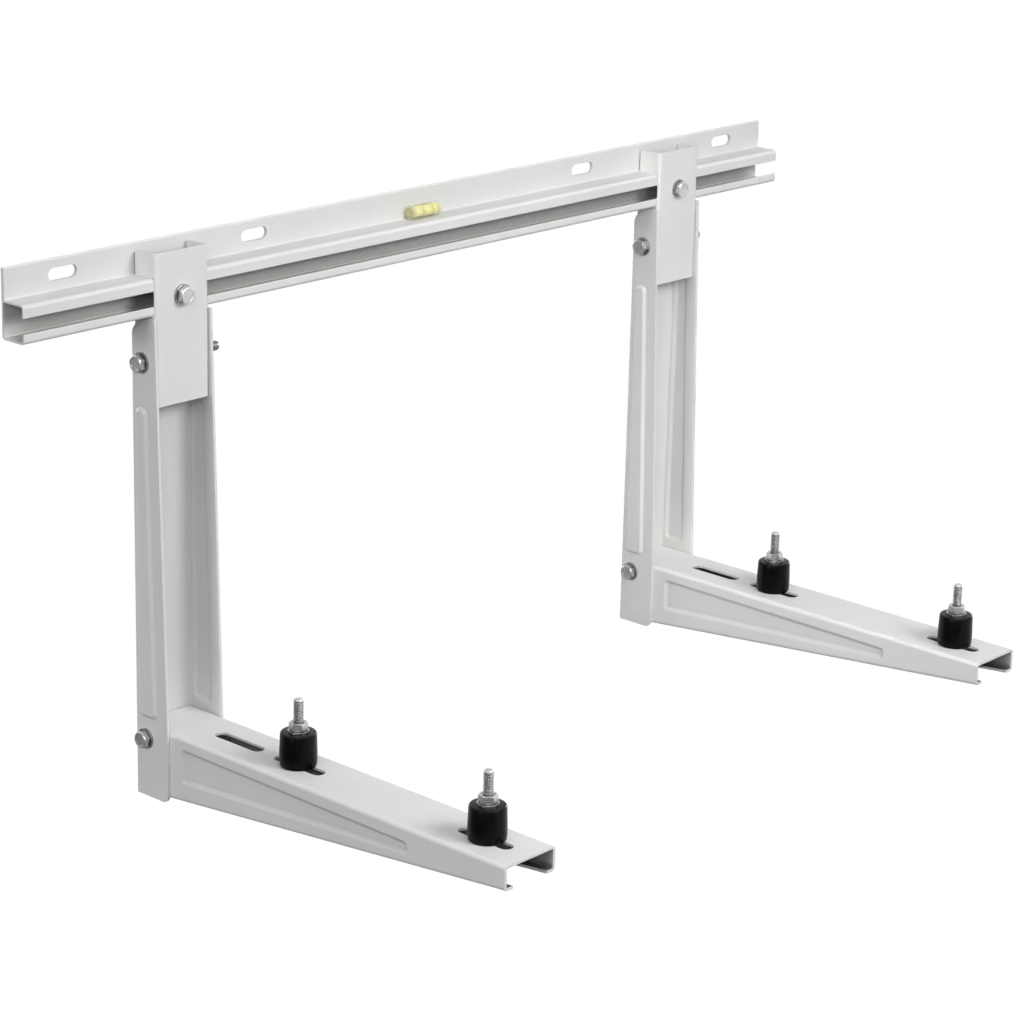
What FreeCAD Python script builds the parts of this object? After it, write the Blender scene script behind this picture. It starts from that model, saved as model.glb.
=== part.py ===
import FreeCAD, Part
import math
import os

# Wall bracket for an air conditioner outdoor unit, in millimetres.
# The frame: +X runs along the rail to the right, the wall is the plane Y = 0,
# the arms reach out along -Y, and +Z is up. The origin is the middle of the row
# of wall slots, on the rail's wall face.

# Rail: one strip, roll-formed into a flat plate with an open channel below it
rail_length = 900.0
rail_sheet = 1.5
plate_top = 12.5
plate_height = 55.0
channel_height = 30.0
channel_depth = 25.0
upper_lip = 10.0
lower_lip = 8.0
rail_bend = 1.5
lip_edge = 0.5
hem_flat = 0.1
web_corner = 1.0

# Wall slots in the rail's plate
slot_length = 28.0
slot_width = 10.0
outer_slot_from_end = 56.0
inner_slot_spacing = 396.0

# The two brackets on the rail
bracket_spacing = 600.0
pair_shift = 4.0
bracket_sheet = 2.3
bend_inside = 1.2
nest_gap = 0.2
web_gap = 1.0

# Upright: a channel that stands against the wall, open to the front
upright_width = 60.0
upright_top_gap = 1.5
upright_drop = 397.9
upright_depth_top = 28.0
upright_depth_arm = 38.5
upright_corner = 22.0
upright_foot_corner = 6.0

# Raised panel pressed outward in each side of the upright
bead_height = 2.0
bead_slope = 3.0
bead_wall_margin = 5.3
bead_front_margin = 11.0
bead_top_below_rail = 73.5
bead_above_arm = 7.5
bead_corner = 6.0

# Hanger: folded plate that hooks over the rail and nests in the upright
hanger_top_drop = 5.5
hanger_below_rail = 72.0
hanger_rail_gap = 1.0
hanger_plate_gap = 1.2
hanger_corner = 6.0
ear_corner = 3.0

# Arm: a channel open downward, with lips, that tapers to its tip
arm_reach = 400.0
arm_depth_rear = 60.0
arm_depth_tip = 20.0
arm_lip = 9.0
arm_slot_length = 52.0
arm_slot_width = 11.5
arm_slot_first = 90.5
arm_slot_shift = 1.5

# Tapered panel pressed inward in each side of the arm
recess_depth = 2.5
recess_slope = 3.5
recess_start = 52.0
recess_from_tip = 98.0
recess_top_start = 9.5
recess_top_end = 11.5
recess_height_start = 30.0
recess_height_end = 10.5
recess_corner = 4.2

# M8 fasteners
bolt_d = 8.0
bolt_hole = 9.0
hex_flats = 13.0
head_height = 5.3
nut_height = 6.5
hex_face = 12.3
hex_chamfer_angle = 30.0
tip_chamfer = 1.0
thread_gap = 0.05
washer_outer = 17.0
washer_inner = 8.4
washer_t = 1.6
turn_step = 37.0

# Where the through bolts cross the upright
side_bolt_length = 80.0
side_bolt_from_wall = 13.0
upper_bolt_below_rail = 37.5
lower_bolt_below_arm = 10.6

# Clamp bolt and the plate nut that slides in the rail
rail_bolt_length = 20.0
rail_nut_length = 36.0
rail_nut_height = 22.0
rail_nut_t = 6.0

# Rubber dampers on the arms
damper_d = 30.0
damper_height = 28.0
damper_edge = 1.0
rear_damper_from_wall = 157.0
front_damper_from_tip = 43.0
stud_above = 27.0
stud_below = 18.0
stud_plate_d = 24.0
stud_plate_t = 2.0
rubber_skin = 1.0

# Bubble level in the corner above the rail's channel
vial_d = 12.0
vial_bore = 9.0
vial_length = 34.0
vial_plug = 4.0
vial_x = -10.0
vial_gap = 0.1
liquid_gap = 0.05
bubble_d = 4.8
bubble_length = 10.0
bubble_rise = 2.3

# Places that follow from the sizes above
plate_t = 2 * rail_sheet
outer_slot_spacing = rail_length - 2 * outer_slot_from_end
web_z = plate_top - (plate_height - channel_height)
rail_bottom = plate_top - plate_height
gap_top = web_z - upper_lip
gap_bottom = rail_bottom + lower_lip
gap_z = (gap_top + gap_bottom) / 2
bend_outside = bend_inside + bracket_sheet
upright_top = rail_bottom - upright_top_gap
upright_bottom = rail_bottom - upright_drop
arm_top = upright_bottom + arm_depth_rear
nested_width = upright_width - 2 * bracket_sheet - 2 * nest_gap
nested_rear = -bracket_sheet - web_gap
hanger_top = plate_top - hanger_top_drop
hanger_bottom = rail_bottom - hanger_below_rail
hanger_face = channel_depth + bracket_sheet
recess_end = arm_reach - recess_from_tip
damper_front = arm_reach - front_damper_from_tip
damper_top = arm_top + damper_height
upper_bolt_z = rail_bottom - upper_bolt_below_rail
lower_bolt_z = arm_top - lower_bolt_below_arm

X_AXIS = FreeCAD.Vector(1, 0, 0)
Y_AXIS = FreeCAD.Vector(0, 1, 0)
Z_AXIS = FreeCAD.Vector(0, 0, 1)


# Outlines and simple bodies

def rounded_wire(corners, place):
    """Closed outline through (a, b, radius) corners; place turns a, b into a point."""
    edges = []
    ends = []
    count = len(corners)
    for i in range(count):
        here = FreeCAD.Vector(corners[i][0], corners[i][1], 0)
        before = FreeCAD.Vector(corners[i - 1][0], corners[i - 1][1], 0)
        after = FreeCAD.Vector(corners[(i + 1) % count][0], corners[(i + 1) % count][1], 0)
        radius = corners[i][2]
        back = (before - here).normalize()
        ahead = (after - here).normalize()
        half = back.getAngle(ahead) / 2
        if radius > 0:
            reach = radius / math.tan(half)
            inward = (back + ahead).normalize()
            middle = here + inward * (radius / math.sin(half) - radius)
            ends.append((here + back * reach, middle, here + ahead * reach))
        else:
            ends.append((here, None, here))
    for i in range(count):
        start, middle, end = [p and place(p.x, p.y) for p in ends[i]]
        last = place(ends[i - 1][2].x, ends[i - 1][2].y)
        if last.distanceToPoint(start) > 1e-6:
            edges.append(Part.makeLine(last, start))
        if middle:
            edges.append(Part.Arc(start, middle, end).toShape())
    return Part.Wire(edges)


def inset(corners, distance):
    """Corners of a convex outline, in either direction, moved inward."""
    count = len(corners)
    points = [FreeCAD.Vector(a, b, 0) for a, b in corners]
    area = sum(points[i - 1].cross(points[i]).z for i in range(count))
    side = math.copysign(1.0, area)
    moved = []
    for i in range(count):
        first = (points[i] - points[i - 1]).normalize()
        second = (points[(i + 1) % count] - points[i]).normalize()
        half = first.getAngle(second) / 2
        inward = (Z_AXIS.cross(first) + Z_AXIS.cross(second)).normalize() * side
        corner = points[i] + inward * (distance / math.cos(half))
        moved.append((corner.x, corner.y))
    return moved


def across_x(corners, low, high):
    """Solid with a rounded outline in Y and Z, from x = low to x = high."""
    wire = rounded_wire(corners, lambda a, b: FreeCAD.Vector(low, a, b))
    return Part.Face(wire).extrude(X_AXIS * (high - low))


def up_z(corners, low, high):
    """Solid with a rounded outline in X and Y, from z = low to z = high."""
    wire = rounded_wire(corners, lambda a, b: FreeCAD.Vector(a, b, low))
    return Part.Face(wire).extrude(Z_AXIS * (high - low))


def box(low, high):
    """Block between two opposite corners."""
    size = [h - l for l, h in zip(low, high)]
    return Part.makeBox(size[0], size[1], size[2], FreeCAD.Vector(*low))


def rod(diameter, start, direction, length):
    """Round bar from a point along a direction."""
    return Part.makeCylinder(diameter / 2, length, FreeCAD.Vector(*start), direction)


def stand(shape, start, direction):
    """Moves a body that was made on the origin along +Z to a point and direction."""
    shape.Placement = FreeCAD.Placement(FreeCAD.Vector(*start), FreeCAD.Rotation(Z_AXIS, direction))
    return shape


def tapered_panel(corners, radius, slope, x, rise):
    """Low block with rounded corners whose sides lean inward by the slope as it rises.

    Its foot lies at x, and rise is a vector along X. It is built up from a flat middle,
    a wedge along each side and a cone at each corner.
    """
    core = [FreeCAD.Vector(x, a, b) for a, b in inset(corners, radius)]
    middle = sum(core, FreeCAD.Vector()) * (1 / len(core))
    body = Part.Face(Part.makePolygon(core + core[:1])).extrude(rise)
    for i in range(len(core)):
        start = core[i - 1]
        along = core[i] - start
        outward = along.cross(rise).normalize()
        if outward.dot(start - middle) < 0:
            outward = -outward
        low = start + outward * radius
        high = start + outward * (radius - slope) + rise
        wedge = Part.makePolygon([start, low, high, start + rise, start])
        cone = Part.makeCone(radius, radius - slope, rise.Length, start, rise)
        body = body.fuse([Part.Face(wedge).extrude(along), cone])
    return body.removeSplitter()


def pressed(sheet, corners, radius, slope, face_x, rise):
    """Presses a panel out of a flat wall, from its face at face_x along the rise."""
    through = math.copysign(bracket_sheet, rise.x)
    raised = sheet.fuse(tapered_panel(corners, radius, slope, face_x + through, rise))
    return raised.cut(tapered_panel(corners, radius, slope, face_x, rise)).removeSplitter()


# M8 fasteners, made on the origin along +Z

def hex_block(height, both_ends, turn):
    """Hexagon with its corners turned down by a cone at one end or at both."""
    corner = hex_flats / math.sqrt(3)
    points = []
    for i in range(7):
        angle = math.radians(60 * i + turn)
        points.append(FreeCAD.Vector(corner * math.cos(angle), corner * math.sin(angle), 0))
    block = Part.Face(Part.makePolygon(points)).extrude(Z_AXIS * height)
    spread = height / math.tan(math.radians(hex_chamfer_angle))
    cone = Part.makeCone(hex_face / 2 + spread, hex_face / 2, height)
    block = block.common(cone)
    if both_ends:
        block = block.common(Part.makeCone(hex_face / 2, hex_face / 2 + spread, height))
    return block


def threaded_rod(length):
    """Rod of the bolt's full diameter with a chamfered tip at its upper end."""
    body = Part.makeCylinder(bolt_d / 2, length - tip_chamfer)
    tip = Part.makeCone(bolt_d / 2, bolt_d / 2 - tip_chamfer, tip_chamfer,
                        FreeCAD.Vector(0, 0, length - tip_chamfer))
    return body.fuse(tip).removeSplitter()


def hex_bolt(length, turn):
    """Bolt whose shank rises from the origin, with its head below."""
    head = stand(hex_block(head_height, False, turn), (0, 0, 0), -Z_AXIS)
    return threaded_rod(length).fuse(head).removeSplitter()


def hex_nut(turn):
    """Nut that stands on the origin."""
    bore = Part.makeCylinder(bolt_d / 2 + thread_gap, nut_height)
    return hex_block(nut_height, True, turn).cut(bore)


def washer():
    """Flat washer that lies on the origin."""
    ring = Part.makeCylinder(washer_outer / 2, washer_t)
    return ring.cut(Part.makeCylinder(washer_inner / 2, washer_t))


# Rail and its level

def crossbar():
    """Plate with a channel under it; the strip is doubled where the plate stands free."""
    hem = (plate_t - hem_flat) / 2
    bend_out = rail_bend + rail_sheet
    front = -channel_depth
    lip_back = front + rail_sheet
    back = -rail_sheet
    section = [
        (0, plate_top, hem),
        (-plate_t, plate_top, hem),
        (-plate_t, web_z, web_corner),
        (front, web_z, bend_out),
        (front, gap_top, lip_edge),
        (lip_back, gap_top, lip_edge),
        (lip_back, web_z - rail_sheet, rail_bend),
        (back, web_z - rail_sheet, rail_bend),
        (back, rail_bottom + rail_sheet, rail_bend),
        (lip_back, rail_bottom + rail_sheet, rail_bend),
        (lip_back, gap_bottom, lip_edge),
        (front, gap_bottom, lip_edge),
        (front, rail_bottom, bend_out),
        (0, rail_bottom, bend_out),
    ]
    bar = across_x(section, -rail_length / 2, rail_length / 2)
    for spacing in (outer_slot_spacing, inner_slot_spacing):
        for x in (-spacing / 2, spacing / 2):
            bar = bar.cut(wall_slot(x))
    return bar


def wall_slot(x):
    """Round-ended slot through the plate, centred on the row at z = 0."""
    a = slot_length / 2
    b = slot_width / 2
    corners = [(x - a, -b, b), (x + a, -b, b), (x + a, b, b), (x - a, b, b)]
    wire = rounded_wire(corners, lambda u, v: FreeCAD.Vector(u, 0, v))
    return Part.Face(wire).extrude(Y_AXIS * -plate_t)


def vial_centre():
    """Middle of the level, which lies against the plate and on the channel."""
    reach = vial_d / 2 + vial_gap
    return (vial_x, -plate_t - reach, web_z + reach)


def vial_tube():
    """Clear tube with open ends."""
    x, y, z = vial_centre()
    start = (x - vial_length / 2, y, z)
    return rod(vial_d, start, X_AXIS, vial_length).cut(rod(vial_bore, start, X_AXIS, vial_length))


def vial_plugs():
    """The two stoppers in the tube's ends."""
    x, y, z = vial_centre()
    first = rod(vial_bore, (x - vial_length / 2, y, z), X_AXIS, vial_plug)
    second = rod(vial_bore, (x + vial_length / 2 - vial_plug, y, z), X_AXIS, vial_plug)
    return Part.makeCompound([first, second])


def vial_liquid():
    """Liquid between the stoppers, with the bubble at the top of the bore."""
    x, y, z = vial_centre()
    length = vial_length - 2 * vial_plug - 2 * liquid_gap
    fill = rod(vial_bore - 2 * liquid_gap, (x - length / 2, y, z), X_AXIS, length)
    half = (bubble_length - bubble_d) / 2
    bubble = rod(bubble_d, (x - half, y, z + bubble_rise), X_AXIS, 2 * half)
    for end in (x - half, x + half):
        bubble = bubble.fuse(Part.makeSphere(bubble_d / 2, FreeCAD.Vector(end, y, z + bubble_rise)))
    return fill.cut(bubble)


# Folded parts of one bracket, made with the bracket's middle at x = 0

def depth_at(z):
    """Depth of the upright's sides at a height: they widen down to the arm's top."""
    share = (upright_top - z) / (upright_top - arm_top)
    grown = upright_depth_top + (upright_depth_arm - upright_depth_top) * share
    return min(grown, upright_depth_arm)


def folded_u(width, web_y, open_y, low, high):
    """Sheet folded to a U in plan, from its web at web_y to its open side at open_y."""
    half = width / 2
    step = math.copysign(bracket_sheet, open_y - web_y)
    corners = [
        (-half, open_y, 0),
        (-half, web_y, bend_outside),
        (half, web_y, bend_outside),
        (half, open_y, 0),
        (half - bracket_sheet, open_y, 0),
        (half - bracket_sheet, web_y + step, bend_inside),
        (-half + bracket_sheet, web_y + step, bend_inside),
        (-half + bracket_sheet, open_y, 0),
    ]
    return up_z(corners, low, high)


def upright():
    """Channel against the wall, with a pressed panel and two bolt holes in each side."""
    half = upright_width / 2
    body = folded_u(upright_width, 0, -upright_depth_arm, upright_bottom, upright_top)
    side = [
        (0, upright_top, upright_corner),
        (-upright_depth_top, upright_top, 0),
        (-upright_depth_arm, arm_top, 0),
        (-upright_depth_arm, upright_bottom, upright_foot_corner),
        (0, upright_bottom, 0),
    ]
    body = body.common(across_x(side, -half, half))
    bead_top = rail_bottom - bead_top_below_rail
    bead_foot = arm_top + bead_above_arm
    bead = [
        (-bead_wall_margin, bead_top),
        (-depth_at(bead_top) + bead_front_margin, bead_top),
        (-depth_at(bead_foot) + bead_front_margin, bead_foot),
        (-bead_wall_margin, bead_foot),
    ]
    for sign in (-1, 1):
        inner = sign * (half - bracket_sheet)
        body = pressed(body, bead, bead_corner, bead_slope, inner, X_AXIS * sign * bead_height)
    for z in (upper_bolt_z, lower_bolt_z):
        body = body.cut(side_hole(z))
    return body


def side_hole(z):
    """Clearance hole right across a bracket for a through bolt."""
    start = (-upright_width, -side_bolt_from_wall, z)
    return rod(bolt_hole, start, X_AXIS, 2 * upright_width)


def hanger():
    """Front plate over the rail, ears that sit on it, and cheeks inside the upright."""
    half = nested_width / 2
    ear_rear = -plate_t - hanger_plate_gap
    body = folded_u(nested_width, -hanger_face, nested_rear, hanger_bottom, hanger_top)
    below = rail_bottom - hanger_rail_gap
    side = [
        (-hanger_face, hanger_top, 0),
        (ear_rear, hanger_top, ear_corner),
        (ear_rear, web_z, 0),
        (-channel_depth, web_z, 0),
        (-channel_depth, below, 0),
        (nested_rear, below, hanger_corner),
        (nested_rear, hanger_bottom, 0),
        (-hanger_face, hanger_bottom, 0),
    ]
    body = body.common(across_x(side, -half, half))
    body = body.cut(side_hole(upper_bolt_z))
    return body.cut(rod(bolt_hole, (0, -hanger_face, gap_z), Y_AXIS, bracket_sheet))


def arm():
    """Tapered channel with lips, slots along its top and a pressed panel in each side."""
    foot_rear = arm_top - arm_depth_rear
    foot_tip = arm_top - arm_depth_tip
    slope = (foot_tip - foot_rear) / (arm_reach + nested_rear)
    past = 10.0

    def foot_at(y):
        return foot_rear + slope * (nested_rear - y)

    def tapered(width, wall, beyond, bend):
        lift = wall * math.hypot(1, slope)
        side = [
            (nested_rear + beyond, arm_top - wall, 0),
            (-arm_reach - beyond, arm_top - wall, 0),
            (-arm_reach - beyond, foot_at(-arm_reach - beyond) + lift, 0),
            (nested_rear + beyond, foot_at(nested_rear + beyond) + lift, 0),
        ]
        block = across_x(side, -width / 2, width / 2)
        along = [e for e in block.Edges if abs(e.Vertexes[0].Y - e.Vertexes[1].Y) > arm_reach / 2]
        return block.makeFillet(bend, along)

    body = tapered(nested_width, 0, 0, bend_outside)
    body = body.cut(tapered(nested_width - 2 * bracket_sheet, bracket_sheet, past, bend_inside))
    mouth = nested_width / 2 - arm_lip
    under = [
        (past, foot_at(past) - past, 0),
        (-arm_reach - past, foot_at(-arm_reach - past) - past, 0),
        (-arm_reach - past, foot_at(-arm_reach - past) + 2 * bracket_sheet, 0),
        (past, foot_at(past) + 2 * bracket_sheet, 0),
    ]
    body = body.cut(across_x(under, -mouth, mouth))
    recess = [
        (-recess_start, arm_top - recess_top_start),
        (-recess_end, arm_top - recess_top_end),
        (-recess_end, arm_top - recess_top_end - recess_height_end),
        (-recess_start, arm_top - recess_top_start - recess_height_start),
    ]
    for sign in (-1, 1):
        outer = sign * nested_width / 2
        body = pressed(body, recess, recess_corner, recess_slope, outer, X_AXIS * -sign * recess_depth)
    for reach in (arm_slot_first, rear_damper_from_wall + arm_slot_shift, damper_front - arm_slot_shift):
        body = body.cut(arm_slot(reach))
    return body.cut(side_hole(lower_bolt_z))


def arm_slot(reach):
    """Round-ended slot in the arm's top, centred at a distance from the wall."""
    a = arm_slot_width / 2
    b = arm_slot_length / 2
    corners = [(-a, -reach - b, a), (a, -reach - b, a), (a, -reach + b, a), (-a, -reach + b, a)]
    return up_z(corners, arm_top - 2 * bracket_sheet, arm_top)


# Fasteners of one bracket

def rail_clamp():
    """Bolt through the hanger and the rail's gap, its washer and its plate nut."""
    seat = -hanger_face - washer_t
    nut_face = -channel_depth + rail_sheet
    bolt = stand(hex_bolt(rail_bolt_length, turn_step), (0, seat, gap_z), Y_AXIS)
    ring = stand(washer(), (0, seat, gap_z), Y_AXIS)
    half = rail_nut_length / 2
    high = rail_nut_height / 2
    plate = box((-half, nut_face, gap_z - high), (half, nut_face + rail_nut_t, gap_z + high))
    hole = rod(bolt_d + 2 * thread_gap, (0, nut_face, gap_z), Y_AXIS, rail_nut_t)
    return {"rail_bolt": bolt, "rail_bolt_washer": ring, "rail_plate_nut": plate.cut(hole)}


def side_fastening(z, turn):
    """Through bolt with its head on the left, two washers and a nut on the right."""
    half = upright_width / 2
    y = -side_bolt_from_wall
    bolt = stand(hex_bolt(side_bolt_length, turn), (-half - washer_t, y, z), X_AXIS)
    near = stand(washer(), (-half - washer_t, y, z), X_AXIS)
    far = stand(washer(), (half, y, z), X_AXIS)
    nut = stand(hex_nut(turn + turn_step), (half + washer_t, y, z), X_AXIS)
    return {"bolt": bolt, "washers": Part.makeCompound([near, far]), "nut": nut}


# Damper with its studs and fasteners, made on the arm's top at x = 0

def stud(length):
    """Stud with the round plate that the rubber holds, made on the rubber's end face."""
    plate = Part.makeCylinder(stud_plate_d / 2, stud_plate_t,
                              FreeCAD.Vector(0, 0, -rubber_skin - stud_plate_t))
    shaft = threaded_rod(length + rubber_skin)
    shaft.translate(FreeCAD.Vector(0, 0, -rubber_skin))
    return plate.fuse(shaft).removeSplitter()


def damper(y, turn):
    """Rubber cylinder bonded to a stud at each end, and what is screwed on the studs."""
    foot = (0, y, arm_top)
    head = (0, y, damper_top)
    under = arm_top - bracket_sheet - washer_t
    upper = stand(stud(stud_above), head, Z_AXIS)
    lower = stand(stud(stud_below), foot, -Z_AXIS)
    rubber = rod(damper_d, foot, Z_AXIS, damper_height)
    rims = [e for e in rubber.Edges if len(e.Vertexes) == 1]
    rubber = rubber.makeFillet(damper_edge, rims).cut(upper).cut(lower)
    return {
        "damper": rubber,
        "upper_stud": upper,
        "lower_stud": lower,
        "top_washer": stand(washer(), head, Z_AXIS),
        "top_nut": stand(hex_nut(turn), (0, y, damper_top + washer_t), Z_AXIS),
        "under_washer": stand(washer(), (0, y, under), Z_AXIS),
        "under_nut": stand(hex_nut(turn + turn_step), (0, y, under), -Z_AXIS),
    }


# The whole object, one entry for each piece

def bracket_pieces(order):
    """Every piece of one bracket, with its middle at x = 0."""
    pieces = {"upright": upright(), "hanger": hanger(), "arm": arm()}
    pieces.update(rail_clamp())
    for i, (level, z) in enumerate((("upper", upper_bolt_z), ("lower", lower_bolt_z))):
        turn = turn_step * (order + 2 * i)
        for name, shape in side_fastening(z, turn).items():
            pieces[level + "_" + name] = shape
    for i, (place, reach) in enumerate((("rear", rear_damper_from_wall), ("front", damper_front))):
        turn = turn_step * (order + 3 * i)
        for name, shape in damper(-reach, turn).items():
            pieces[place + "_" + name] = shape
    return pieces


def all_pieces():
    """Rail, level and both brackets."""
    pieces = {
        "crossbar": crossbar(),
        "level_tube": vial_tube(),
        "level_plugs": vial_plugs(),
        "level_liquid": vial_liquid(),
    }
    for order, side in enumerate(("left", "right")):
        x = pair_shift + (order - 0.5) * bracket_spacing
        for name, shape in bracket_pieces(order).items():
            shape.translate(FreeCAD.Vector(x, 0, 0))
            pieces[side + "_" + name] = shape
    return pieces


os.makedirs("parts", exist_ok=True)
for name, shape in all_pieces().items():
    shape.exportStep(os.path.join("parts", name + ".step"))
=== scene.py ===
# %% [markdown]
# # A wall bracket for an air conditioner outdoor unit
#
# Two folded steel brackets hang on a rail that is screwed to a wall, and four rubber
# dampers on their arms carry the outdoor unit. The construction comes from a packed
# CAD model, which stays as it is: this lesson dresses it. It sets the camera and the
# studio, gives each finish a procedural material, and puts detailed fasteners, dampers
# and a bubble level where the plain solids stand.

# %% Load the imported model
import math

import bmesh
import bpy
from mathutils import Matrix, Vector


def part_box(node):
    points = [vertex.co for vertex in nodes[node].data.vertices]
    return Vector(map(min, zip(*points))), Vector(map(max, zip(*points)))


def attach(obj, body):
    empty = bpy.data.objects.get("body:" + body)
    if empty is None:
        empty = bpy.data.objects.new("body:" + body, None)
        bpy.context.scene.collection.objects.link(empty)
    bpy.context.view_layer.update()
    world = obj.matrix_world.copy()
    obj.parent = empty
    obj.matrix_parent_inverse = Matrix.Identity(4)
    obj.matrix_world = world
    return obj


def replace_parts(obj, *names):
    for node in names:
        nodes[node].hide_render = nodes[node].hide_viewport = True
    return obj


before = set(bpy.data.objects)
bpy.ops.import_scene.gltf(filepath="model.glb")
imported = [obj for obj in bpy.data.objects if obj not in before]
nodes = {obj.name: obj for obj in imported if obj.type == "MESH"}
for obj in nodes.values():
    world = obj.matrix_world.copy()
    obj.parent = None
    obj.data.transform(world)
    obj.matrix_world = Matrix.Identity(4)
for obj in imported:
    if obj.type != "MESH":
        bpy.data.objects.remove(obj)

scene = bpy.context.scene
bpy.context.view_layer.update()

# %% [markdown]
# ## The camera
#
# The photograph looks at the bracket from its left front, and a little from above. A
# camera could be aimed with a Track To constraint, but three plain angles say more: the
# heading from the wall's normal, the dip below the horizon, and a small roll. The lens
# is long, so the two brackets look nearly parallel, as they do in the photograph.

# %% Camera
camera_place = Vector((-1.8638, -1.7812, 0.5483))
camera_heading = math.radians(48.08)
camera_dip = math.radians(17.69)
camera_roll = math.radians(1.43)
camera_lens = 109.8

look = Vector((math.sin(camera_heading) * math.cos(camera_dip),
               math.cos(camera_heading) * math.cos(camera_dip),
               -math.sin(camera_dip)))
level_right = Vector((math.cos(camera_heading), -math.sin(camera_heading), 0.0))
level_up = level_right.cross(look)
right = math.cos(camera_roll) * level_right + math.sin(camera_roll) * level_up
up = math.cos(camera_roll) * level_up - math.sin(camera_roll) * level_right

camera = bpy.data.objects.new("camera", bpy.data.cameras.new("camera"))
scene.collection.objects.link(camera)
camera.data.sensor_width = 36.0
camera.data.lens = camera_lens
turn = Matrix((right, up, -look)).transposed()
camera.matrix_world = Matrix.Translation(camera_place) @ turn.to_4x4()
scene.camera = camera
scene.view_settings.view_transform = "Standard"
print("camera looks along", [round(part, 3) for part in look])

# %% [markdown]
# ## Adding shader nodes
#
# A material is a graph of nodes. They can be placed by hand in the editor, or by one
# short helper: it adds a node, sets its options, and for each input takes either a plain
# value or the output of another node. That keeps each finish readable as a recipe.


# %% Shader helpers
def put(tree, kind, inputs=None, **options):
    """Adds a node. An input given as a socket is linked, and any other is set."""
    node = tree.nodes.new(kind)
    for name, value in options.items():
        setattr(node, name, value)
    for name, value in (inputs or {}).items():
        if isinstance(value, bpy.types.NodeSocket):
            tree.links.new(value, node.inputs[name])
        else:
            node.inputs[name].default_value = value
    return node


def ramp(tree, factor, *stops):
    """A colour ramp: each stop is a place and a grey level or a colour."""
    node = put(tree, "ShaderNodeValToRGB", {0: factor})
    points = node.color_ramp.elements
    while len(points) < len(stops):
        points.new(0.5)
    for point, (place, colour) in zip(points, stops):
        point.position = place
        grey = isinstance(colour, (int, float))
        point.color = (colour,) * 3 + (1.0,) if grey else (*colour, 1.0)
    return node.outputs[0]


def number(tree, operation, first, second):
    """The result of one sum on two numbers, of which either may be a socket."""
    return put(tree, "ShaderNodeMath", {0: first, 1: second}, operation=operation).outputs[0]


def fade(tree, value, start, end, low, high):
    """A value mapped from one range onto another, and held at its ends."""
    inputs = {0: value, 1: start, 2: end, 3: low, 4: high}
    return put(tree, "ShaderNodeMapRange", inputs).outputs[0]


def seen_directly(tree, mirrored):
    """Two numbers: how white a ray sees the room, and 1 for a ray that only lights."""
    path = put(tree, "ShaderNodeLightPath").outputs
    direct = path["Is Camera Ray"]
    shine = number(tree, "MAXIMUM", path["Is Glossy Ray"], path["Is Transmission Ray"])
    white = number(tree, "MAXIMUM", direct, number(tree, "MULTIPLY", shine, mirrored))
    lighting = number(tree, "SUBTRACT", 1.0, number(tree, "MAXIMUM", direct, shine))
    return white, lighting


dark_side = Vector((-0.86, -0.20, -0.47))
dark_level = 0.20
dark_begins, dark_full = 0.35, 0.62     # cosines of the angle from the dark side


def room_white(tree, place):
    """How white the room looks towards a place, for a ray that is mirrored."""
    away = put(tree, "ShaderNodeVectorMath", {0: place}, operation="NORMALIZE")
    turned = put(tree, "ShaderNodeVectorMath", {0: away.outputs["Vector"], 1: dark_side},
                 operation="DOT_PRODUCT").outputs["Value"]
    return fade(tree, turned, dark_begins, dark_full, 1.0, dark_level)


print("shader helpers ready")

# %% [markdown]
# ## The studio: a white room and soft lamps
#
# The photograph is a cut-out on white. Its shadows tell where the lamps stood: the right
# side of the left upright shades its back, so the main lamp is above, in front and to the
# right. A second lamp in front fills in. The right bracket is brighter inside than the
# left one, so a narrow lamp reaches it from the left, and a faint one aims at the left
# bracket from the right. Two on the left light the sides, from low down, since there is
# no shadow under the rail. One lights the tops, and two reach the back and the right
# sides, which the photograph doesn't show.
# A lamp's light falls with the square of its distance, so each panel's power is worked out
# from the level that it should give where it is aimed. The white of the room is in the
# floor and in the world, and only for rays that show it, so it adds no light to the object.
# Metal and rubber mirror the same white, but for a dark side where the photographer stands:
# that is what gives a bolt or a black damper its contrast.

# %% World
ambient = 0.28
world = bpy.data.worlds.new("white_room")
world.use_nodes = True
tree = world.node_tree
tree.nodes.clear()
scene.world = world
heading = put(tree, "ShaderNodeTexCoord").outputs["Generated"]
white, lighting = seen_directly(tree, room_white(tree, heading))
strength = number(tree, "ADD", white, number(tree, "MULTIPLY", lighting, ambient))
glow = put(tree, "ShaderNodeBackground", {"Strength": strength, "Color": (1, 1, 1, 1)})
put(tree, "ShaderNodeOutputWorld", {"Surface": glow.outputs[0]})
print("ambient level", ambient)


# %% Lamps
def soft_panel(name, level, place, aim, size, spread=180.0):
    """A square lamp that gives a level of light where it is aimed.

    A narrow spread gathers the same power into a cone, so it needs only a share of it.
    """
    lamp = bpy.data.objects.new(name, bpy.data.lights.new(name, "AREA"))
    scene.collection.objects.link(lamp)
    lamp.data.size = size
    lamp.data.spread = math.radians(spread)
    reach = Vector(place) - Vector(aim)
    half = lamp.data.spread / 2
    share = math.sin(half) ** 2 - (half - math.sin(2 * half) / 2) / math.tan(half)
    lamp.data.energy = level * math.pi ** 2 * reach.length_squared * share
    lamp.location = place
    lamp.rotation_euler = reach.to_track_quat("Z", "Y").to_euler()
    print(name, "level", level, "power", round(lamp.data.energy, 1), "W")


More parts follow.
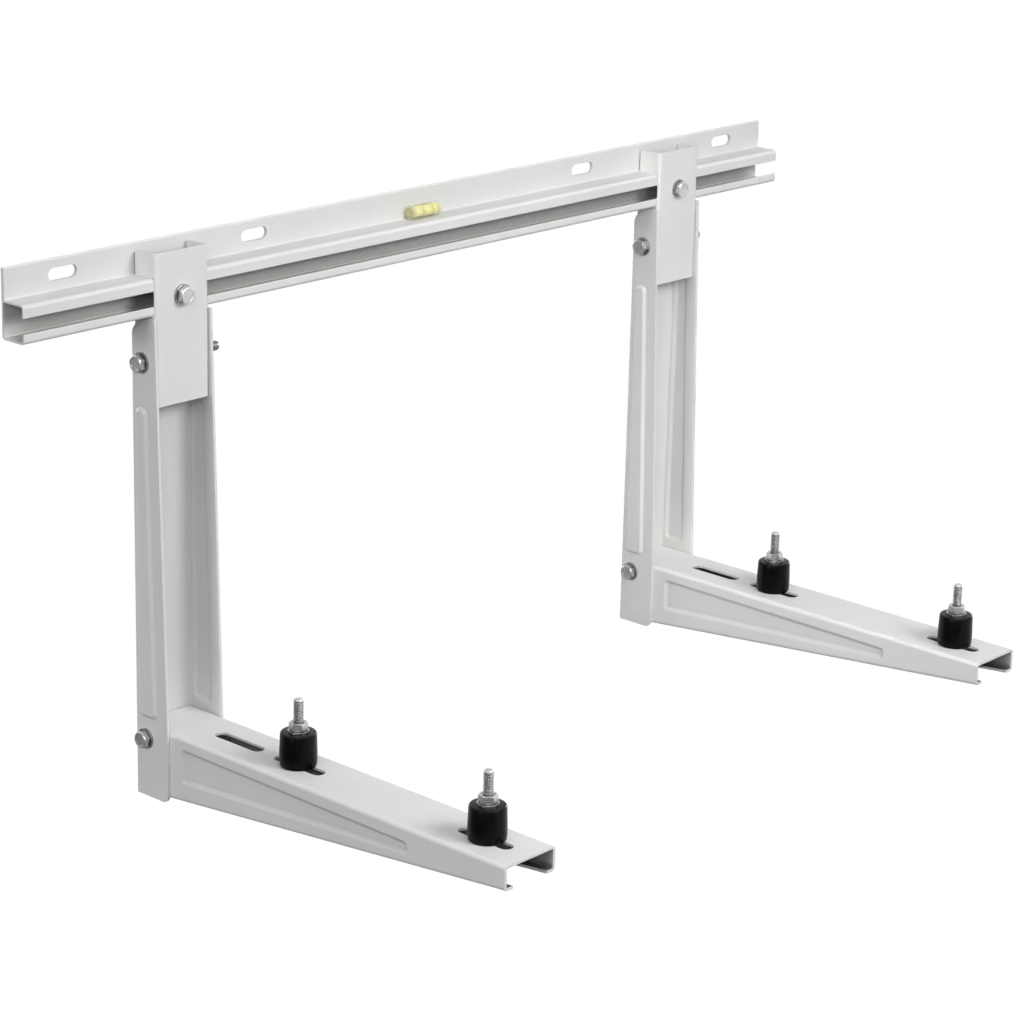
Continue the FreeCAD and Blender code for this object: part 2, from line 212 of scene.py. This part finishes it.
def soft_sun(name, level, side, height, width):
    """A lamp at infinity: side is degrees to the right of straight in front."""
    lamp = bpy.data.objects.new(name, bpy.data.lights.new(name, "SUN"))
    scene.collection.objects.link(lamp)
    lamp.data.energy = level * math.pi
    lamp.data.angle = math.radians(width)
    side, height = math.radians(side), math.radians(height)
    towards = Vector((math.sin(side) * math.cos(height),
                      -math.cos(side) * math.cos(height), math.sin(height)))
    lamp.rotation_euler = towards.to_track_quat("Z", "Y").to_euler()
    print(name, "level", level, "from", [round(part, 2) for part in towards])


soft_panel("key_lamp", 0.46, (0.26, -1.85, 0.95), (0.0, 0.0, 0.0), 0.6)
soft_panel("front_lamp", 0.20, (-0.25, -1.1, 0.30), (0.0, 0.0, -0.1), 0.3)
soft_panel("right_bracket_lamp", 0.38, (-0.95, -1.05, 0.0), (0.304, -0.12, -0.25), 0.25, 28.0)
soft_panel("left_bracket_lamp", 0.14, (0.55, -1.5, 0.35), (-0.27, -0.03, -0.25), 0.4, 30.0)
soft_sun("left_lamp", 0.24, -50.0, 22.0, 20.0)
soft_sun("side_lamp", 0.29, -88.0, 11.0, 14.0)
soft_sun("top_lamp", 0.15, -20.0, 76.0, 20.0)
soft_sun("right_side_lamp", 0.20, 97.0, 6.0, 14.0)
soft_sun("back_lamp", 0.38, 178.0, 6.0, 20.0)

# %% Floor
floor_height = -0.95
floor_size = 40.0
floor_white = 0.97
floor_grey = (0.07, 0.07, 0.07, 1)
floor_mesh = bpy.data.meshes.new("floor")
corners = [(x * floor_size, y * floor_size, floor_height)
           for x, y in ((-1, -1), (1, -1), (1, 1), (-1, 1))]
floor_mesh.from_pydata(corners, [], [(0, 1, 2, 3)])
floor = bpy.data.objects.new("floor", floor_mesh)
scene.collection.objects.link(floor)

paint = bpy.data.materials.new("floor_white")
paint.use_nodes = True
tree = paint.node_tree
tree.nodes.clear()
spot = put(tree, "ShaderNodeNewGeometry").outputs["Position"]
white, lighting = seen_directly(tree, room_white(tree, spot))
glow_level = number(tree, "MULTIPLY", white, floor_white)
matt = put(tree, "ShaderNodeBsdfDiffuse", {"Color": floor_grey})
glow = put(tree, "ShaderNodeEmission", {"Strength": glow_level, "Color": (1, 1, 1, 1)})
both = put(tree, "ShaderNodeAddShader", {0: matt.outputs[0], 1: glow.outputs[0]})
put(tree, "ShaderNodeOutputMaterial", {"Surface": both.outputs[0]})
floor_mesh.materials.append(paint)
print("floor at", floor_height)

# %% [markdown]
# ## Powder coat on sheet steel
#
# Rail, uprights, hangers and arms are pressed from sheet and coated with a light grey
# powder. Baked powder is not flat: it has a fine orange peel and its tone drifts a little.
# Noise makes these two. The colour is also made paler over edges, a painted highlight, and
# darker in inner corners, a painted shade. The Bevel node rounds the normals of the sharp
# CAD edges, and comparing it with the true normal finds the edges. Ambient occlusion finds
# the corners. The arms get a darker ramp, which paints deep shade inside their channels.


# %% Powder coat
def fresh_material(name):
    """An empty material, its node tree, and places as measured on the object."""
    material = bpy.data.materials.new(name)
    material.use_nodes = True
    tree = material.node_tree
    tree.nodes.clear()
    return material, tree, put(tree, "ShaderNodeTexCoord").outputs["Object"]


def surface(tree, inputs):
    """The shader that a finish ends in."""
    shader = put(tree, "ShaderNodeBsdfPrincipled", inputs)
    put(tree, "ShaderNodeOutputMaterial", {"Surface": shader.outputs[0]})


def noise(tree, place, scale, detail=3.0, roughness=0.55):
    """Cloudy values round a half, at so many clouds a metre."""
    return put(tree, "ShaderNodeTexNoise", {"Vector": place, "Scale": scale, "Detail": detail,
                                            "Roughness": roughness}).outputs[0]


def mixed(tree, kind, factor, below, above):
    """Two colours mixed in one of the usual ways."""
    node = put(tree, "ShaderNodeMix", {0: factor, 6: below, 7: above},
               data_type="RGBA", blend_type=kind)
    return node.outputs[2]


def bumped(tree, height, strength, distance, **normal):
    """Normals that follow a height. Normal is what they start from."""
    inputs = {"Height": height, "Strength": strength, "Distance": distance, **normal}
    return put(tree, "ShaderNodeBump", inputs).outputs[0]


def edge_mask(tree, rounded):
    """1 on an edge that the Bevel node rounds, 0 on a flat."""
    true_normal = put(tree, "ShaderNodeNewGeometry").outputs["Normal"]
    same = put(tree, "ShaderNodeVectorMath", {0: rounded, 1: true_normal},
               operation="DOT_PRODUCT").outputs["Value"]
    return number(tree, "SUBTRACT", 1.0, same)


edge_radius = 0.0006
corner_reach = 0.035
peel_height = 0.0004


def powder_coat(name, *painted_shade_stops):
    material, tree, place = fresh_material(name)
    rounded = put(tree, "ShaderNodeBevel", {"Radius": edge_radius}, samples=6).outputs[0]
    drift = noise(tree, place, 11.0, 4.0)
    colour = ramp(tree, drift, (0.30, (0.670, 0.675, 0.662)), (0.70, (0.710, 0.714, 0.703)))
    speckle = noise(tree, place, 950.0, 2.0)
    fine = ramp(tree, speckle, (0.35, 0.965), (0.65, 1.0))
    colour = mixed(tree, "MULTIPLY", 1.0, colour, fine)
    # Painted highlight: edges that the Bevel node rounds are mixed towards a paler grey.
    edges = ramp(tree, edge_mask(tree, rounded), (0.02, 0.0), (0.16, 0.4))
    colour = mixed(tree, "MIX", edges, colour, (0.76, 0.76, 0.755, 1))
    # Painted shade: occlusion darkens inner corners, nearly to black in the deepest ones.
    corners = put(tree, "ShaderNodeAmbientOcclusion", {"Distance": corner_reach}, samples=8,
                  only_local=True).outputs["AO"]
    painted_corner_shade = ramp(tree, corners, *painted_shade_stops)
    colour = mixed(tree, "MULTIPLY", 1.0, colour, painted_corner_shade)
    sheen = ramp(tree, noise(tree, place, 26.0), (0.3, 0.50), (0.7, 0.60))
    peel = noise(tree, place, 520.0, 2.0, 0.4)
    bump = bumped(tree, peel, 0.10, peel_height, Normal=rounded)
    surface(tree, {"Base Color": colour, "Roughness": sheen, "Normal": bump, "IOR": 1.48})
    return material


def dress(material, *names):
    """Gives a finish to every CAD node whose name ends in one of these words."""
    chosen = [name for name in sorted(nodes) if name.endswith(names)]
    for name in chosen:
        slots = nodes[name].material_slots
        if not slots:
            nodes[name].data.materials.append(material)
        for slot in slots:
            slot.material = material
    print(material.name, "on", len(chosen), "pieces")


# These stops paint shade into inner corners, near black in the deepest, and darken open flats
# a little.
coat = powder_coat("powder_coat", (0.0, (0.02, 0.02, 0.018)), (0.20, (0.18, 0.177, 0.168)),
                   (0.36, (0.82, 0.82, 0.81)), (0.50, 0.90), (0.85, 0.92), (1.0, 1.0))
# The arms' stops paint a deep shade into their narrow channels.
arm_coat = powder_coat("arm_powder_coat", (0.0, 0.02), (0.35, (0.07, 0.07, 0.066)),
                       (0.60, (0.26, 0.26, 0.25)), (0.80, 0.84), (0.90, 0.94), (1.0, 1.0))
dress(coat, "crossbar", "upright", "hanger")
dress(arm_coat, "arm")

# %% [markdown]
# ## Bright zinc
#
# Bolts, nuts, washers and studs are zinc plated. The plating is a soft bluish mirror
# with a patchy polish and fine scratches. It could be a plain metal with one roughness,
# but then each facet would look the same, so both the colour and the roughness follow
# noise, and occlusion paints shade into the roots of the thread and round the heads.


# %% Zinc
thread_shade_reach = 0.006


def bright_zinc():
    material, tree, place = fresh_material("bright_zinc")
    rounded = put(tree, "ShaderNodeBevel", {"Radius": 0.00025}, samples=4).outputs[0]
    bloom = noise(tree, place, 160.0, 4.0, 0.7)
    colour = ramp(tree, bloom, (0.32, (0.46, 0.47, 0.48)), (0.68, (0.64, 0.645, 0.65)))
    # Painted shade: the colour darkens where occlusion is deep, near black in the thread roots
    # and beside heads and washers.
    roots = put(tree, "ShaderNodeAmbientOcclusion", {"Distance": thread_shade_reach},
                samples=8).outputs["AO"]
    painted_crevice_shade = ramp(tree, roots, (0.15, (0.06, 0.058, 0.055)), (0.50, (0.46, 0.45, 0.44)),
                 (0.92, 1.0))
    colour = mixed(tree, "MULTIPLY", 1.0, colour, painted_crevice_shade)
    polish = ramp(tree, noise(tree, place, 420.0, 3.0), (0.3, 0.24), (0.7, 0.40))
    bump = bumped(tree, bloom, 0.12, 0.0002, Normal=rounded)
    surface(tree, {"Base Color": colour, "Roughness": polish, "Normal": bump, "Metallic": 1.0})
    return material


zinc = bright_zinc()
dress(zinc, "bolt", "washer", "washers", "nut", "stud")

# %% [markdown]
# ## Black rubber
#
# The dampers are moulded rubber. Rubber is nearly black, and what shows is its broad, dull
# shine, a dusty bloom that greys it in patches, and the fine grain of the mould.


# %% Rubber
def black_rubber():
    material, tree, place = fresh_material("black_rubber")
    dusty = noise(tree, place, 70.0, 5.0, 0.65)
    colour = ramp(tree, dusty, (0.38, (0.0005, 0.0006, 0.0005)),
                  (0.75, (0.0022, 0.0024, 0.0022)))
    dull = ramp(tree, dusty, (0.3, 0.24), (0.75, 0.36))
    grain = noise(tree, place, 1500.0, 2.0)
    surface(tree, {"Base Color": colour, "Roughness": dull, "IOR": 1.45,
                   "Specular IOR Level": 0.13, "Normal": bumped(tree, grain, 0.2, 0.0001)})
    return material


rubber = black_rubber()
dress(rubber, "damper")

# %% [markdown]
# ## Lathed pieces
#
# Dampers, plugs and tubes are turned shapes. Blender's Screw modifier could spin a
# profile, but rings that are stacked and joined in code can also carry what a lathe
# can't: a mould seam, six flats, or a chamfer that bites only into the corners. Each ring
# is a list of points, ring follows ring along the profile, and the ends are closed.

# %% Skin of rings
mm = 0.001
merge_gap = 0.0005      # millimetres


def skin(name, rings, looped=False):
    """A mesh through rings of equally many points. Looped joins last to first."""
    bm = bmesh.new()
    rows = [[bm.verts.new(point) for point in ring] for ring in rings]
    count = len(rows[0])
    pairs = list(zip(rows, rows[1:]))
    if looped:
        pairs.append((rows[-1], rows[0]))
    else:
        bm.faces.new(reversed(rows[0]))
        bm.faces.new(rows[-1])
    for lower, upper in pairs:
        for i in range(count):
            j = (i + 1) % count
            bm.faces.new((lower[i], lower[j], upper[j], upper[i]))
    return finished(name, bm)


def finished(name, bm, crease=28.0):
    """Turns the draft into a mesh in metres, smooth but for its real edges."""
    bmesh.ops.remove_doubles(bm, verts=bm.verts, dist=merge_gap)
    bmesh.ops.recalc_face_normals(bm, faces=bm.faces)
    mesh = bpy.data.meshes.new(name)
    bm.to_mesh(mesh)
    bm.free()
    mesh.transform(Matrix.Scale(mm, 4))
    mesh.shade_smooth()
    mesh.set_sharp_from_angle(angle=math.radians(crease))
    return mesh


def circle(radius, height, count=48):
    """A ring of points. The radius may be a number or a function of the angle."""
    angles = [math.tau * i / count for i in range(count)]
    reach = [radius(angle) if callable(radius) else radius for angle in angles]
    return [(r * math.cos(a), r * math.sin(a), height) for r, a in zip(reach, angles)]


def fit(mesh, start, along=(0, 0, 1), turned=0.0):
    """A copy of a mesh whose axis leaves a start, in millimetres, along a direction."""
    swing = Vector((0, 0, 1)).rotation_difference(Vector(along)).to_matrix().to_4x4()
    spin = Matrix.Rotation(math.radians(turned), 4, "Z")
    copy = mesh.copy()
    copy.transform(Matrix.Translation(Vector(start) * mm) @ swing @ spin)
    return copy


def new_piece(name, meshes, material):
    """One piece from some fitted meshes."""
    bm = bmesh.new()
    for mesh in meshes:
        bm.from_mesh(mesh)
    joined = bpy.data.meshes.new(name)
    bm.to_mesh(joined)
    bm.free()
    joined.materials.append(material)
    piece = bpy.data.objects.new(name, joined)
    scene.collection.objects.link(piece)
    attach(piece, "root")
    return piece


def stand_for(node, meshes, material):
    """A new piece in place of a CAD node."""
    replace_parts(new_piece(node + "_detail", meshes, material), node)


print("ring helpers ready")

# %% [markdown]
# ## Rubber dampers
#
# Each damper is a moulded cylinder, 30 mm across and 28 mm high. The unit's weight and the
# draft of the mould make it a little wider low down than at its top, its rims are rounded,
# and a fine seam runs up both sides, where the halves of the mould met.

# %% Dampers
damper_height = 28.0
damper_profile = ((13.1, 0.0), (14.0, 0.25), (14.45, 0.9), (14.7, 2.5), (14.95, 6.0),
                  (15.0, 9.0), (14.85, 15.0), (14.6, 21.0), (14.45, 25.8), (14.15, 27.1),
                  (13.5, 27.8), (12.6, 28.0))
damper_widest = 15.0
seam_height = 0.13
damper_points = 72
seam_points = (9, 45)


def damper_ring(radius, height):
    """A ring that stands out a little at the two mould seams."""
    ring = circle(radius, height, damper_points)
    for i in seam_points:
        x, y, z = ring[i]
        out = min(radius + seam_height, damper_widest) / radius
        ring[i] = (x * out, y * out, z)
    return ring


damper_mesh = skin("damper", [damper_ring(*point) for point in damper_profile])

arm_top = -380.4
bracket_middles = {"left": -296.0, "right": 304.0}
damper_rows = {"rear": -157.0, "front": -357.0}
damper_turns = {"rear": 31.0, "front": 4.0}
for side, x in bracket_middles.items():
    for row, y in damper_rows.items():
        seat = fit(damper_mesh, (x, y, arm_top), turned=damper_turns[row])
        stand_for(f"{side}_{row}_damper", [seat], rubber)
print("dampers:", len(damper_mesh.polygons), "faces each")

# %% [markdown]
# ## Threads
#
# The studs and bolts are M8 with a pitch of 1.25 mm. A bump map could fake the thread, but
# the studs stand against a white background, where a real outline shows. The rows of this
# mesh follow the helix, so crest and root are clean lines: each point is a little higher
# than the one before, and after a full turn a row meets the one a pitch above it.
# Points past an end are pressed flat onto it and merged, and a chamfer trims the crests.

# %% Threaded rod
thread_radius = 4.0
thread_pitch = 1.25
thread_depth = 0.68
tip_chamfer = 1.0
thread_shape = ((0.0, 0.0), (0.16, 0.0), (0.50, 1.0), (0.66, 1.0))


def threaded_rod(name, length, plain=0.0, sides=36):
    """A rod up the Z axis from 0. Its first part may be plain."""
    bm = bmesh.new()
    rows = []
    for turn_number in range(-1, math.ceil(length / thread_pitch) + 1):
        for share, depth in thread_shape:
            row = []
            for i in range(sides):
                z = (turn_number + share + i / sides) * thread_pitch
                z = min(max(z, 0.0), length)
                cut = depth * thread_depth if z > plain else 0.0
                tip = thread_radius - tip_chamfer + min(z, length - z)
                radius = min(thread_radius - cut, tip)
                angle = math.tau * i / sides
                point = (radius * math.cos(angle), radius * math.sin(angle), z)
                row.append(bm.verts.new(point))
            rows.append(row)
    step = len(thread_shape)
    for k in range(len(rows) - 1):
        low, high = rows[k], rows[k + 1]
        for i in range(sides - 1):
            bm.faces.new((low[i], low[i + 1], high[i + 1], high[i]))
        if k + step + 1 < len(rows):
            turn_low, turn_high = rows[k + step], rows[k + step + 1]
            bm.faces.new((low[-1], turn_low[0], turn_high[0], high[-1]))
    bmesh.ops.remove_doubles(bm, verts=bm.verts, dist=merge_gap)
    bmesh.ops.dissolve_degenerate(bm, edges=bm.edges, dist=merge_gap)
    open_edges = [edge for edge in bm.edges if len(edge.link_faces) == 1]
    bmesh.ops.holes_fill(bm, edges=open_edges, sides=0)
    mesh = finished(name, bm)
    print(name, "faces", len(mesh.polygons), "filled edges", len(open_edges))
    return mesh


# %% [markdown]
# ## Hexagon heads and nuts
#
# A hexagon bar is turned before it is cut, so its corners lose a cone at 30 degrees: that
# is where the curved lines on a nut's flats come from. In rings, the side of the hexagon
# simply ends lower at the corners than at the middle of the flats. A head also has a
# round bearing face below, and a nut a countersunk bore.

# %% Hexagons
half_flats = 6.5
face_radius = 6.15
head_height = 5.3
nut_height = 6.5
bore_radius = 4.05
cone = math.radians(30.0)


def hex_reach(angle):
    """The distance from the axis to a hexagon whose first corner is at angle 0."""
    return half_flats / math.cos(angle % (math.pi / 3) - math.pi / 6)


def side_ring(height, way):
    """The rim of the six flats, cut back at the corners. Way is 1 up or -1 down."""
    ring = []
    for x, y, _ in circle(hex_reach, 0.0):
        cut = (math.hypot(x, y) - face_radius) * math.tan(cone)
        ring.append((x, y, height - way * cut))
    return ring


def hex_head():
    """A head with a round bearing face below and a shallow dish on top."""
    bearing, bearing_height = 5.9, 0.35
    rim, dish, dish_depth = 4.9, 4.7, 0.2
    rings = [circle(bearing, 0.0), circle(bearing, bearing_height),
             circle(hex_reach, bearing_height), side_ring(head_height, 1),
             circle(face_radius, head_height), circle(rim, head_height),
             circle(dish, head_height - dish_depth)]
    return skin("hex_head", rings)


def hex_nut():
    """A nut with a smooth bore, countersunk at both ends."""
    sink, sink_depth = 4.45, 0.5
    rings = [circle(face_radius, 0.0), side_ring(0.0, -1), side_ring(nut_height, 1),
             circle(face_radius, nut_height), circle(sink, nut_height),
             circle(bore_radius, nut_height - sink_depth), circle(bore_radius, sink_depth),
             circle(sink, 0.0)]
    return skin("hex_nut", rings, looped=True)


head_mesh = hex_head()
nut_mesh = hex_nut()
print("head faces", len(head_mesh.polygons), "nut faces", len(nut_mesh.polygons))

# %% [markdown]
# ## Where the fasteners go
#
# A through bolt crosses each upright at the hanger and at the arm. Its head is on the left
# and its nut on the right. A clamp bolt goes through each hanger into the rail, and every
# damper has a stud above and below. Each one is turned a little differently, as a wrench
# leaves them.

# %% Fasteners
turn_step = 37.0
top_nut_turn, top_nut_step = 9.0, 4.0
side_bolt_out = 31.6        # from the middle of a bracket to a washer's outer face
side_bolt_y = -13.0
side_bolt_heights = {"upper": -80.0, "lower": -391.0}
rail_bolt_y, rail_bolt_z = -28.9, -28.5
washer_height = 1.6
under_nut_drop = 3.9        # the arm's sheet and the washer under it

side_bolt_rod = threaded_rod("side_bolt_rod", 80.0, plain=50.0)
rail_bolt_rod = threaded_rod("rail_bolt_rod", 20.0)
stud_rod = threaded_rod("upper_stud_rod", 27.0)
short_rod = threaded_rod("lower_stud_rod", 18.0)


def zinc_piece(node, *meshes):
    """A zinc piece in place of a CAD node."""
    stand_for(node, meshes, zinc)


for order, (side, x) in enumerate(bracket_middles.items()):
    for i, (place, z) in enumerate(side_bolt_heights.items()):
        spun = turn_step * (order + 2 * i)
        outer = (x - side_bolt_out, side_bolt_y, z)
        zinc_piece(f"{side}_{place}_bolt", fit(side_bolt_rod, outer, (1, 0, 0)),
                   fit(head_mesh, outer, (-1, 0, 0), -spun))
        outer = (x + side_bolt_out, side_bolt_y, z)
        zinc_piece(f"{side}_{place}_nut", fit(nut_mesh, outer, (1, 0, 0), spun + turn_step))
    outer = (x, rail_bolt_y, rail_bolt_z)
    zinc_piece(f"{side}_rail_bolt", fit(rail_bolt_rod, outer, (0, 1, 0)),
               fit(head_mesh, outer, (0, -1, 0), -turn_step))
    for i, (row, y) in enumerate(damper_rows.items()):
        spun = turn_step * (order + 3 * i)
        top = arm_top + damper_height
        zinc_piece(f"{side}_{row}_upper_stud", fit(stud_rod, (x, y, top)))
        zinc_piece(f"{side}_{row}_lower_stud", fit(short_rod, (x, y, arm_top), (0, 0, -1)))
        seat = (x, y, top + washer_height)
        turned = top_nut_turn + top_nut_step * (order + 2 * i)
        zinc_piece(f"{side}_{row}_top_nut", fit(nut_mesh, seat, turned=turned))
        seat = (x, y, arm_top - under_nut_drop)
        turned = -spun - turn_step
        zinc_piece(f"{side}_{row}_under_nut", fit(nut_mesh, seat, (0, 0, -1), turned))
print("fasteners placed")

# %% [markdown]
# ## The bubble level
#
# A short clear tube lies in the corner above the rail's channel, with a yellow liquid, a
# bubble between two ring marks, and a stopper in each end. The tube is a little hazy, so
# it is a pale tint that the light half passes. The liquid keeps its CAD solid, which has
# the bubble cut out of it. Tube, stoppers and marks are rings again, laid along X.


# %% Level materials
def clear_acrylic():
    material, tree, place = fresh_material("clear_acrylic")
    haze = noise(tree, place, 300.0)
    tint = ramp(tree, haze, (0.3, (0.86, 0.85, 0.50)), (0.7, (0.93, 0.92, 0.70)))
    rough = ramp(tree, haze, (0.3, 0.06), (0.7, 0.16))
    surface(tree, {"Base Color": tint, "Roughness": rough, "IOR": 1.49, "Alpha": 0.30})
    return material


def yellow_liquid():
    material, tree, place = fresh_material("yellow_liquid")
    along = put(tree, "ShaderNodeSeparateXYZ", {0: place}).outputs["X"]
    swirl = fade(tree, noise(tree, place, 140.0, 2.0), 0.3, 0.7, -0.15, 0.15)
    depth = number(tree, "ADD", fade(tree, along, -0.023, 0.003, 0.0, 1.0), swirl)
    colour = ramp(tree, depth, (0.1, (0.88, 0.80, 0.26)), (0.6, (0.92, 0.86, 0.13)),
                  (0.95, (0.82, 0.82, 0.04)))
    surface(tree, {"Base Color": colour, "Roughness": 0.10, "IOR": 1.33})
    return material


def stopper_plastic():
    material, tree, place = fresh_material("stopper_plastic")
    patch = noise(tree, place, 260.0, 3.0)
    colour = ramp(tree, patch, (0.3, (0.40, 0.37, 0.18)), (0.7, (0.54, 0.50, 0.28)))
    surface(tree, {"Base Color": colour, "Roughness": 0.4,
                   "Normal": bumped(tree, patch, 0.1, 0.0002)})
    return material


def mark_ink():
    material, tree, place = fresh_material("mark_ink")
    worn = noise(tree, place, 700.0, 3.0)
    colour = ramp(tree, worn, (0.35, (0.10, 0.09, 0.03)), (0.7, (0.24, 0.22, 0.08)))
    surface(tree, {"Base Color": colour, "Roughness": 0.45})
    return material


acrylic = clear_acrylic()
stopper = stopper_plastic()
dress(yellow_liquid(), "level_liquid")

# %% Level tube, stoppers and marks
tube_length = 34.0
plug_length = 4.0
tube_profile = ((4.5, 0.5), (4.65, 0.15), (5.0, 0.0), (5.5, 0.0), (5.85, 0.15),
                (6.0, 0.5), (6.0, 33.5), (5.85, 33.85), (5.5, 34.0), (5.0, 34.0),
                (4.65, 33.85), (4.5, 33.5))
plug_profile = ((4.2, 0.0), (4.45, 0.25), (4.45, 3.4), (4.2, 3.8), (3.5, 3.9), (2.9, 3.2),
                (0.8, 3.0))
mark_profile = ((5.9, 0.0), (6.03, 0.0), (6.03, 0.5), (5.9, 0.5))
mark_places = (11.0, 22.5)

corners = [Vector(corner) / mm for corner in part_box("level_tube")]
middle = (corners[0] + corners[1]) / 2
tube_start = Vector((corners[0].x, middle.y, middle.z))
tube_mesh = skin("level_tube", [circle(*point) for point in tube_profile], looped=True)
plug_mesh = skin("level_plug", [circle(*point) for point in plug_profile])
mark_mesh = skin("level_mark", [circle(*point) for point in mark_profile], looped=True)


def along_tube(distance):
    """A place on the tube's axis, in millimetres."""
    return tube_start + Vector((distance, 0, 0))


stand_for("level_tube", [fit(tube_mesh, tube_start, (1, 0, 0))], acrylic)
plugs = [fit(plug_mesh, along_tube(plug_length), (-1, 0, 0)),
         fit(plug_mesh, along_tube(tube_length - plug_length), (1, 0, 0))]
stand_for("level_plugs", plugs, stopper)
marks = [fit(mark_mesh, along_tube(place), (1, 0, 0)) for place in mark_places]
new_piece("level_marks", marks, mark_ink())
print("level from", [round(part, 2) for part in tube_start])
